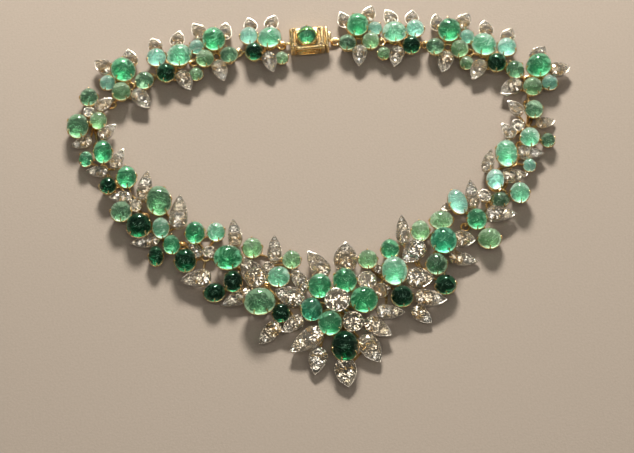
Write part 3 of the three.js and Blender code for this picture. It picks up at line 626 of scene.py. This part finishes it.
def round_collet(metal, gold, stones, r, rng, foot_z=0.5):
    """An open basket with claws for a round brilliant set on its own."""
    x, y, d, level = r
    z, R = SEAT[level], d / 2
    tube(metal, oval_loop(x, y, R + 0.06, R + 0.06, 0, z - 0.16, 40), 0.2 + 0.01 * d, 8, True)
    mid = foot_z + (z - foot_z) * 0.45
    tube(gold, oval_loop(x, y, R * 0.62, R * 0.62, 0, mid, 24), 0.22, 6, True)
    tube(gold, oval_loop(x, y, R * 0.42, R * 0.42, 0, foot_z, 20), 0.32, 6, True)
    count = 10 if d > 6.8 else (8 if d > 4.6 else 5)
    start = rng.uniform(0, 1)
    for i in range(count):
        ang = start + 2 * math.pi * i / count
        c, s = math.cos(ang), math.sin(ang)
        path = [(x + c * R * k, y + s * R * k, zz) for k, zz in ((0.42, foot_z), (0.66, mid), (0.95, z - 0.3), (1.03, z + 0.02), (0.98, z + 0.2), (0.9, z + 0.32))]
        tube(metal, path, [0.24, 0.24, 0.26, 0.28, 0.27, 0.23], 8)
    brilliant(stones, (x, y, z), d, None, rng.uniform(0, 1))


# ------------------------------------------------------------------ galleries and hinges
def hull(points):
    pts = sorted(set(points))
    turn = lambda o, a, b: (a[0] - o[0]) * (b[1] - o[1]) - (a[1] - o[1]) * (b[0] - o[0])

    def half(seq):
        out = []
        for p in seq:
            while len(out) > 1 and turn(out[-2], out[-1], p) <= 0:
                out.pop()
            out.append(p)
        return out[:-1]

    return half(pts) + half(reversed(pts))


def rounded(points, r=1.2, steps=4):
    """A closed outline with its corners rounded."""
    out, n = [], len(points)
    for i in range(n):
        p, a, b = Vector(points[i]), Vector(points[i - 1]), Vector(points[(i + 1) % n])
        da, db = (a - p), (b - p)
        k = min(r, da.length * 0.4, db.length * 0.4)
        s, e = p + da.normalized() * k, p + db.normalized() * k
        for j in range(steps + 1):
            t = j / steps
            out.append(tuple(s * (1 - t) ** 2 + p * 2 * t * (1 - t) + e * t * t))
    return out


def spoke(gold, p, q, z=0.5, r=0.4, bow=0.0, n=6):
    """A wire between two points of the gallery, bowed a little sideways."""
    d = math.dist(p, q)
    if d < 0.8:
        return
    nx, ny = -(q[1] - p[1]) / d, (q[0] - p[0]) / d
    path = []
    for k in range(6):
        t = k / 5
        o = bow * math.sin(math.pi * t)
        path.append((p[0] + (q[0] - p[0]) * t + nx * o, p[1] + (q[1] - p[1]) * t + ny * o, z))
    tube(gold, path, r, n)


def gallery(gold, link, feet, rng):
    hx, hy = link["at"]
    tube(gold, oval_loop(hx, hy, 1.3, 1.3, 0, 0.5, 24), 0.42, 8, True)
    for fx, fy, fr in feet:
        d = math.hypot(fx - hx, fy - hy)
        if d < 1.3 + fr:
            continue
        ux, uy = (fx - hx) / d, (fy - hy) / d
        spoke(gold, (hx + ux * 1.3, hy + uy * 1.3), (fx - ux * fr, fy - uy * fr), 0.5, 0.4, rng.choice((-1, 1)) * 0.05 * d)
    out = hull([(f[0], f[1]) for f in feet])
    radius = {(f[0], f[1]): f[2] for f in feet}
    for p, q in zip(out, out[1:] + out[:1]):
        d = math.dist(p, q)
        if d < 1.5 or not all(covered(link, p[0] + (q[0] - p[0]) * t, p[1] + (q[1] - p[1]) * t) for t in (0.25, 0.4, 0.5, 0.6, 0.75)):
            continue
        ux, uy = (q[0] - p[0]) / d, (q[1] - p[1]) / d
        spoke(gold, (p[0] + ux * radius[p], p[1] + uy * radius[p]), (q[0] - ux * radius[q], q[1] - uy * radius[q]), 0.5, 0.36)


def covered(link, x, y):
    """True where one of the link's stones or leaves lies over the point."""
    for g in link["gems"]:
        if math.hypot(x - g[0], y - g[1]) < (g[2] + g[3]) / 4:
            return True
    for r in link["rounds"]:
        if math.hypot(x - r[0], y - r[1]) < r[2] / 2:
            return True
    for lx, ly, L, W, deg, level in link["leaves"]:
        a = math.radians(deg)
        s, t = (x - lx) * math.cos(a) + (y - ly) * math.sin(a), -(x - lx) * math.sin(a) + (y - ly) * math.cos(a)
        if abs(s) < L / 2 and abs(t) < leaf_half(L, W, 0, s):
            return True
    return False


def eye(gold, hub, x, y):
    d = math.dist(hub, (x, y))
    ux, uy = (x - hub[0]) / d, (y - hub[1]) / d
    tube(gold, oval_loop(x, y, 1.25, 1.25, 0, 0.45, 24), 0.4, 8, True)
    spoke(gold, (hub[0] + ux * 1.2, hub[1] + uy * 1.2), (x - ux * 1.25, y - uy * 1.25), 0.45, 0.42)


def pin(gold, hub, x, y, r=0.42):
    d = math.dist(hub, (x, y))
    ux, uy = (x - hub[0]) / d, (y - hub[1]) / d
    path = [(hub[0] + ux * 1.2, hub[1] + uy * 1.2, 0.55), (hub[0] + ux * d * 0.35, hub[1] + uy * d * 0.35, 0.9),
            (hub[0] + ux * d * 0.6, hub[1] + uy * d * 0.6, PIN_Z), (x - ux * 0.25, y - uy * 0.25, PIN_Z), (x, y, PIN_Z - 0.15), (x, y, 0.75), (x, y, 0.3)]
    tube(gold, path, [r, r, r, r, 0.4, 0.36, 0.36], 8)
    ball(gold, (x, y, PIN_Z), 0.5, 10, 6)


# ------------------------------------------------------------------ clasp
def rounded_rect(hy, z0, z1, r, n=6):
    """Points (y, z) round a rectangle with rounded corners."""
    out = []
    for cy, cz, a0 in ((hy - r, z1 - r, 0), (-hy + r, z1 - r, 90), (-hy + r, z0 + r, 180), (hy - r, z0 + r, 270)):
        for k in range(n):
            a = math.radians(a0 + 90 * k / (n - 1))
            out.append((cy + r * math.cos(a), cz + r * math.sin(a)))
    return out


def clasp_box(gold):
    hy, top = CLASP_HALF, CLASP_TOP
    loops = []

    def ring(x, inset, r):
        loops.append([(x, CLASP_Y + y, z) for y, z in rounded_rect(hy - inset, inset, top - inset, r)])

    def slot(x, r=0.4, grow=0.0):
        loops.append([(x, CLASP_Y + y, z) for y, z in rounded_rect(3.0 + grow, 1.2 - grow, 3.5 + grow, r)])

    L, R = CLASP_LEFT, CLASP_RIGHT
    for x, i, r in ((L, 0.55, 0.7), (L + 0.06, 0.32, 0.8), (L + 0.22, 0.12, 0.9), (L + 0.5, 0.0, 1.0), (R - 0.4, 0.0, 1.0), (R - 0.12, 0.08, 0.95), (R, 0.25, 0.85)):
        ring(x, i, r)
    slot(R, 0.5, 0.15)
    slot(R - 0.15)
    slot(-4.1)
    loft(gold, loops, 0, True, False, True, True)
    # raised wires round the box, and a fluted band between each pair
    for x in (L + 1.1, L + 2.0, R - 2.0, R - 1.1):
        tube(gold, [(x, CLASP_Y + y, z) for y, z in rounded_rect(hy + 0.02, -0.02 + 0.18, top + 0.02, 1.0)], 0.16, 6, True)
    for x in (L + 1.55, R - 1.55):
        pts = rounded_rect(hy + 0.0, 0.16, top, 1.0, 6)
        total = []
        for (y0, z0), (y1, z1) in zip(pts, pts[1:] + pts[:1]):
            d = math.hypot(y1 - y0, z1 - z0)
            m = max(1, round(d / 0.5))
            total += [(y0 + (y1 - y0) * k / m, z0 + (z1 - z0) * k / m) for k in range(m)]
        for y, z in total:
            if z > 0.4:
                ball(gold, (x, CLASP_Y + y, z), 0.24, 6, 4)
    # the arm to the last link on the left
    tube(gold, [(L + 0.8, CLASP_Y, PIN_Z), (L - 0.6, CLASP_Y, PIN_Z), (CLASP_JOINTS[0] + 0.2, CLASP_Y, PIN_Z), (CLASP_JOINTS[0], CLASP_Y, PIN_Z - 0.15), (CLASP_JOINTS[0], CLASP_Y, 0.3)], [0.5, 0.45, 0.42, 0.4, 0.36], 8)
    ball(gold, (CLASP_JOINTS[0], CLASP_Y, PIN_Z), 0.5, 10, 6)
    # safety catch: two small studs and a hinged loop on the front side
    for x in (L + 3.1, R - 3.0):
        ball(gold, (x, CLASP_Y - CLASP_HALF - 0.1, 2.3), 0.55, 10, 6)
    loop = []
    xa, xb, yy = L + 3.1, R - 3.0, CLASP_Y - CLASP_HALF - 0.35
    for k in range(9):
        t = math.pi / 2 + math.pi * k / 8
        loop.append((xa + 0.85 * math.cos(t), yy, 2.3 + 0.85 * math.sin(t)))
    for k in range(9):
        t = -math.pi / 2 + math.pi * k / 8
        loop.append((xb + 0.85 * math.cos(t), yy, 2.3 + 0.85 * math.sin(t)))
    tube(gold, loop, 0.2, 6, True)


def clasp_tongue(gold):
    # the stop outside the box
    x0, x1, hy, top = CLASP_RIGHT + 0.3, CLASP_RIGHT + 1.3, CLASP_HALF, CLASP_TOP
    loops = []
    for x, i, r in ((x0, 0.3, 0.8), (x0 + 0.1, 0.1, 0.95), (x0 + 0.3, 0.0, 1.0), (x1 - 0.3, 0.0, 1.0), (x1 - 0.1, 0.1, 0.95), (x1, 0.3, 0.8)):
        loops.append([(x, CLASP_Y + y, z) for y, z in rounded_rect(hy - i, i, top - i, r)])
    loft(gold, loops, 0, True, False, True, True)
    # the sprung tongue: a strip folded back on itself
    prof = [(x0 + 0.2, 1.55), (-3.2, 1.55), (-3.6, 1.65), (-3.75, 1.9), (-3.6, 2.15), (-3.2, 2.25), (x0 - 1.2, 3.15), (x0 + 0.2, 3.15)]
    t = 0.22
    loops = []
    for k, (x, z) in enumerate(prof):
        a, b = prof[max(0, k - 1)], prof[min(len(prof) - 1, k + 1)]
        d = math.hypot(b[0] - a[0], b[1] - a[1])
        nx, nz = -(b[1] - a[1]) / d * t, (b[0] - a[0]) / d * t
        loops.append([(x + nx, CLASP_Y + 2.6, z + nz), (x + nx, CLASP_Y - 2.6, z + nz), (x - nx, CLASP_Y - 2.6, z - nz), (x - nx, CLASP_Y + 2.6, z - nz)])
    loft(gold, loops, 0, True, False, True, True)
    # thumb piece
    loops = [[(x, CLASP_Y + y, z) for y, z in rounded_rect(1.4 - i, 3.9 + i, 4.9 - i, 0.42 - i * 0.5)] for x, i in ((x1 - 0.2, 0.12), (x1, 0.0), (x1 + 0.8, 0.0), (x1 + 0.95, 0.12))]
    loft(gold, loops, 0, True, False, True, True)
    tube(gold, [(x1 - 0.4, CLASP_Y, PIN_Z), (x1 + 0.8, CLASP_Y, PIN_Z), (CLASP_JOINTS[1] - 0.2, CLASP_Y, PIN_Z), (CLASP_JOINTS[1], CLASP_Y, PIN_Z - 0.15), (CLASP_JOINTS[1], CLASP_Y, 0.3)], [0.5, 0.45, 0.42, 0.4, 0.36], 8)
    ball(gold, (CLASP_JOINTS[1], CLASP_Y, PIN_Z), 0.5, 10, 6)


# ------------------------------------------------------------------ materials
class Nodes:
    def __init__(self, name):
        self.mat = bpy.data.materials.new(name)
        self.mat.use_nodes = True
        self.t = self.mat.node_tree
        self.t.nodes.clear()
        self.out = self.t.nodes.new("ShaderNodeOutputMaterial")
        self.p = self.t.nodes.new("ShaderNodeBsdfPrincipled")
        self.t.links.new(self.p.outputs[0], self.out.inputs["Surface"])
        self.co = self.t.nodes.new("ShaderNodeTexCoord")

    def link(self, a, b):
        self.t.links.new(a, b)

    def noise(self, scale, detail=3.0, rough=0.55, distort=0.0):
        n = self.t.nodes.new("ShaderNodeTexNoise")
        self.link(self.co.outputs["Object"], n.inputs["Vector"])
        for k, v in (("Scale", scale), ("Detail", detail), ("Roughness", rough), ("Distortion", distort)):
            n.inputs[k].default_value = v
        return n.outputs["Fac"]

    def ramp(self, fac, stops):
        n = self.t.nodes.new("ShaderNodeValToRGB")
        while len(n.color_ramp.elements) < len(stops):
            n.color_ramp.elements.new(0.5)
        for e, (pos, col) in zip(n.color_ramp.elements, stops):
            e.position = pos
            e.color = (*col, 1) if len(col) == 3 else col
        self.link(fac, n.inputs["Fac"])
        return n.outputs["Color"]

    def range(self, fac, a, b, lo, hi):
        n = self.t.nodes.new("ShaderNodeMapRange")
        self.link(fac, n.inputs["Value"])
        for k, v in (("From Min", a), ("From Max", b), ("To Min", lo), ("To Max", hi)):
            n.inputs[k].default_value = v
        return n.outputs["Result"]

    def attribute(self, name):
        n = self.t.nodes.new("ShaderNodeAttribute")
        n.attribute_name = name
        return n.outputs["Fac"]

    def math(self, op, a, b):
        n = self.t.nodes.new("ShaderNodeMath")
        n.operation = op
        for k, v in enumerate((a, b)):
            if isinstance(v, (int, float)):
                n.inputs[k].default_value = v
            else:
                self.link(v, n.inputs[k])
        return n.outputs[0]

    def mix(self, fac, a, b):
        n = self.t.nodes.new("ShaderNodeMix")
        n.data_type = "RGBA"
        if isinstance(fac, (int, float)):
            n.inputs[0].default_value = fac
        else:
            self.link(fac, n.inputs[0])
        for k, v in ((6, a), (7, b)):
            if isinstance(v, tuple):
                n.inputs[k].default_value = (*v, 1)
            else:
                self.link(v, n.inputs[k])
        return n.outputs[2]

    def bump(self, height, strength, distance):
        n = self.t.nodes.new("ShaderNodeBump")
        n.inputs["Strength"].default_value = strength
        n.inputs["Distance"].default_value = distance
        self.link(height, n.inputs["Height"])
        self.link(n.outputs["Normal"], self.p.inputs["Normal"])

    def set(self, **kw):
        for k, v in kw.items():
            self.p.inputs[k.replace("_", " ")].default_value = v


def metal(name, dark, mid, light, rough):
    m = Nodes(name)
    m.set(Metallic=1.0)
    wear = m.noise(260, 4)
    m.link(m.ramp(wear, [(0.30, dark), (0.52, mid), (0.75, light)]), m.p.inputs["Base Color"])
    fine = m.noise(2600, 3, 0.6)
    m.link(m.range(fine, 0.3, 0.7, *rough), m.p.inputs["Roughness"])
    m.bump(fine, 0.12, 0.00003)
    return m.mat


GOLD = metal("yellow_gold", (0.76, 0.52, 0.22), (0.93, 0.70, 0.35), (0.98, 0.82, 0.50), (0.14, 0.30))
WHITE = metal("white_metal", (0.66, 0.60, 0.50), (0.84, 0.79, 0.70), (0.93, 0.90, 0.83), (0.12, 0.26))


def diamond_material():
    m = Nodes("diamond")
    m.set(Roughness=0.0, IOR=2.417)
    m.p.inputs["Transmission Weight"].default_value = 0.95
    tint = m.attribute("tint")
    m.link(m.ramp(tint, [(0.0, (0.97, 0.83, 0.60)), (0.5, (0.98, 0.90, 0.74)), (1.0, (0.96, 0.93, 0.84))]), m.p.inputs["Base Color"])
    return m.mat


DIAMOND = diamond_material()

# surface tint dark, surface tint light, clear share, absorption colour, density per metre, back dark, back light
TONES = {
    "l": ((0.56, 0.88, 0.71), (0.94, 1.0, 0.96), 0.94, (0.61, 0.95, 0.80), 170, (0.17, 0.42, 0.29), (1.0, 1.0, 1.0)),
    "m": ((0.40, 0.71, 0.53), (0.90, 1.0, 0.93), 0.975, (0.41, 0.89, 0.67), 300, (0.07, 0.21, 0.14), (1.0, 1.0, 1.0)),
    "t": ((0.60, 0.92, 0.81), (0.92, 1.0, 0.98), 0.94, (0.66, 0.97, 0.89), 100, (0.32, 0.60, 0.50), (1.0, 1.0, 1.0)),
    "k": ((0.34, 0.69, 0.55), (0.86, 1.0, 0.95), 0.97, (0.34, 0.91, 0.74), 280, (0.07, 0.22, 0.16), (1.0, 1.0, 1.0)),
    "d": ((0.54, 0.67, 0.55), (0.95, 0.98, 0.92), 0.975, (0.64, 0.86, 0.69), 330, (0.10, 0.18, 0.13), (1.0, 1.0, 1.0)),
    "dd": ((0.10, 0.26, 0.18), (0.32, 0.57, 0.43), 0.985, (0.18, 0.60, 0.45), 530, (0.02, 0.07, 0.05), (0.76, 0.94, 0.84)),
    "y": ((0.61, 0.80, 0.57), (0.97, 1.0, 0.92), 0.94, (0.65, 0.90, 0.70), 210, (0.23, 0.36, 0.22), (1.0, 1.0, 0.96)),
}


def emerald_material(tone):
    dark, light, clear, absorb, density, back_dark, back_light = TONES[tone]
    m = Nodes("emerald_" + {"l": "mint", "m": "mid", "t": "teal", "k": "sea", "d": "dark", "dd": "deep", "y": "pale"}[tone])
    m.set(IOR=1.575, Roughness=0.02)
    m.p.inputs["Specular Tint"].default_value = (0.34, 0.66, 0.48, 1)
    veil = m.noise(620, 7, 0.66, 1.6)
    zone = m.noise(170, 2)
    mixed = m.math("ADD", m.math("MULTIPLY", veil, 0.55), m.math("MULTIPLY", zone, 0.45))
    body = m.ramp(mixed, [(0.40, dark), (0.54, light)])
    m.link(body, m.p.inputs["Base Color"])
    m.p.inputs["Transmission Weight"].default_value = clear
    a = m.t.nodes.new("ShaderNodeVolumeAbsorption")
    a.inputs["Color"].default_value = (*absorb, 1)
    a.inputs["Density"].default_value = density
    m.link(a.outputs[0], m.out.inputs["Volume"])
    # the back of the stone: painted glow, light at the thin edge and darker in the middle; mottled, with streaks of
    # flaws
    k = Nodes(m.mat.name + "_back")
    k.set(Metallic=0.55, Roughness=0.42)
    speck = k.noise(560, 6, 0.64, 1.4)
    flaw = k.noise(330, 3, 0.5, 2.6)
    streak = k.range(k.math("ABSOLUTE", k.math("SUBTRACT", flaw, 0.5), 0), 0.0, 0.024, 0.62, 0.0)
    # painted glow: the back's colour is made lighter towards the edge of the stone
    painted_rim_glow = k.range(k.attribute("rim"), 0.38, 0.90, -0.14, 0.34)
    body = k.ramp(k.math("ADD", speck, painted_rim_glow), [(0.44, back_dark), (0.58, back_light)])
    k.link(k.mix(streak, body, tuple((p + q) / 2 for p, q in zip(back_dark, back_light))), k.p.inputs["Base Color"])
    k.bump(speck, 0.45, 0.0007)
    return [m.mat, k.mat]


EMERALD = {t: emerald_material(t) for t in TONES}

# ------------------------------------------------------------------ assembly
LARGE = 7.5
for index, name in enumerate(CHAIN):
    link = LINKS[name]
    rng = random.Random(7000 + index * 13)
    random.seed(500 + index)
    gold, white, stones = Build(), Build(), Build()
    feet = []
    for i, gem in enumerate(link["gems"]):
        collet(gold, gem, rng)
        feet.append((gem[0], gem[1], (gem[2] + gem[3]) / 4 * 0.52))
        ob = cabochon_mesh(gem, rng).make(f"{name}_cabochon_{i + 1}", EMERALD[gem[6]], "emerald",
                                          replaces=[f"emerald_{name}_{i + 1}"] if max(gem[2], gem[3]) >= LARGE else ())
    for r in link["rounds"]:
        round_collet(white, gold, stones, r, rng)
        feet.append((r[0], r[1], r[2] / 2 * 0.42))
    for leaf in link["leaves"]:
        ends = leaf_setting(white, gold, stones, leaf, link["at"], rng)
        cx, cy = sum(p[0] for p in ends) / 2, sum(p[1] for p in ends) / 2
        tube(gold, [(*ends[0], 0.5), (*ends[1], 0.5)], 0.34, 6)
        feet.append((cx, cy, 0.0))
    gallery(gold, link, feet, rng)
    if index > 0:
        pin(gold, link["at"], *JOINTS[index - 1])
    if index + 1 < len(CHAIN):
        eye(gold, link["at"], *JOINTS[index])
    if index == 0:
        eye(gold, link["at"], CLASP_JOINTS[0], CLASP_Y)
    if index + 1 == len(CHAIN):
        eye(gold, link["at"], CLASP_JOINTS[1], CLASP_Y)
    gold.make(name + "_gold", [GOLD], "yellow_gold", 50, [cad_name(name)])
    white.make(name + "_leaves", [WHITE], "white_metal", 40)
    stones.make(name + "_brilliants", [DIAMOND], "diamond")

rng = random.Random(99)
random.seed(99)
shell, top = Build(), Build()
clasp_box(shell)
shell.make("clasp_box_shell", [GOLD], "yellow_gold", 40, ["clasp_box"])
gem = (-1.0, CLASP_Y, 6.4, 6.4, 0, 3, "m")
SEAT_CLASP = 5.5
SEAT[3], keep = SEAT_CLASP, SEAT[3]
ALL_GEMS.append(("clasp", 0, gem))
collet(top, gem, rng, CLASP_TOP + 0.05)
cabochon_mesh(gem, rng).make("clasp_cabochon", EMERALD["m"], "emerald")
SEAT[3] = keep
small = Build()
for sx in (-5.3, 3.3):
    for sy in (-2.9, 2.9):
        tube(top, oval_loop(sx, CLASP_Y + sy, 0.72, 0.72, 0, CLASP_TOP + 0.1, 16), 0.17, 6, True)
        brilliant(small, (sx, CLASP_Y + sy, CLASP_TOP + 0.22), 1.3)
top.make("clasp_collet", [GOLD], "yellow_gold", 50)
small.make("clasp_brilliants", [DIAMOND], "diamond")
tongue = Build()
clasp_tongue(tongue)
tongue.make("clasp_tongue_plate", [GOLD], "yellow_gold", 40, ["clasp_tongue"])

# ------------------------------------------------------------------ floor, light, camera
def floor():
    me = bpy.data.meshes.new("floor")
    s = 4.0
    me.from_pydata([(-s, -s, 0), (s, -s, 0), (s, s, 0), (-s, s, 0)], [], [(0, 1, 2, 3)])
    ob = bpy.data.objects.new("floor", me)
    bpy.context.scene.collection.objects.link(ob)
    m = Nodes("floor")
    m.set(Roughness=0.9)
    big, fine = m.noise(3.0, 2), m.noise(1500, 2)
    both = m.math("ADD", m.math("MULTIPLY", big, 0.5), m.math("MULTIPLY", fine, 0.5))
    m.link(m.ramp(both, [(0.35, (0.256, 0.216, 0.177)), (0.65, (0.290, 0.247, 0.205))]), m.p.inputs["Base Color"])
    m.bump(fine, 0.2, 0.0002)
    me.materials.append(m.mat)


floor()


def area(name, place, target, size, power, colour=(1, 1, 1), size_y=None):
    li = bpy.data.lights.new(name, "AREA")
    li.energy, li.color, li.size = power, colour, size
    if size_y:
        li.shape, li.size_y = "RECTANGLE", size_y
    ob = bpy.data.objects.new(name, li)
    ob.location = place
    ob.rotation_euler = (Vector(target) - Vector(place)).to_track_quat("-Z", "Y").to_euler()
    bpy.context.scene.collection.objects.link(ob)
    return ob


def from_sky(name, azimuth, elevation, distance, size, power, colour, size_y=None):
    """A square light in the sky. Azimuth 0 is over the back of the ring, 90 over its right side."""
    a, e = math.radians(azimuth), math.radians(elevation)
    place = (distance * math.sin(a) * math.cos(e), distance * math.cos(a) * math.cos(e), distance * math.sin(e))
    return area(name, place, (0, 0, 0), size, power, colour, size_y)


from_sky("key", 4, 32, 0.78, 0.20, 15.6, (1.0, 0.95, 0.88), 0.12)
# small soft panels all round, kept out of the patch of sky that the flat tables mirror
turn = 0
for k in range(27):
    el = 84 - 48 * ((k + 0.5) / 27) ** 0.9
    turn += 137.5
    az = turn % 360
    cosine = (math.sin(math.radians(el)) * math.sin(math.radians(62))
              + math.cos(math.radians(el)) * math.cos(math.radians(62)) * math.cos(math.radians(az - 5)))
    if cosine > math.cos(math.radians(33)):
        continue
    from_sky(f"panel_{k}", az, el, 0.85, 0.10, 0.20, (1.0, 0.94, 0.85))

world = bpy.data.worlds.new("studio")
bpy.context.scene.world = world
world.use_nodes = True
bg = world.node_tree.nodes["Background"] if "Background" in world.node_tree.nodes else world.node_tree.nodes.new("ShaderNodeBackground")
bg.inputs["Color"].default_value = (0.75, 0.72, 0.68, 1)
bg.inputs["Strength"].default_value = 0.12

cam = bpy.data.cameras.new("camera")
cam.lens, cam.sensor_width = 2000 * 36 / 634, 36
cam.clip_start, cam.clip_end = 0.01, 20
cob = bpy.data.objects.new("camera", cam)
bpy.context.scene.collection.objects.link(cob)
az, el, dist = math.radians(-5), math.radians(62), 0.620
back = Vector((math.sin(az) * math.cos(el), -math.cos(az) * math.cos(el), math.sin(el)))
cob.location = Vector((-5.498, -12.889, 3.0)) * MM + back * dist
cob.rotation_euler = (-back).to_track_quat("-Z", "Y").to_euler()
bpy.context.scene.camera = cob
bpy.context.scene.view_settings.view_transform = "Standard"
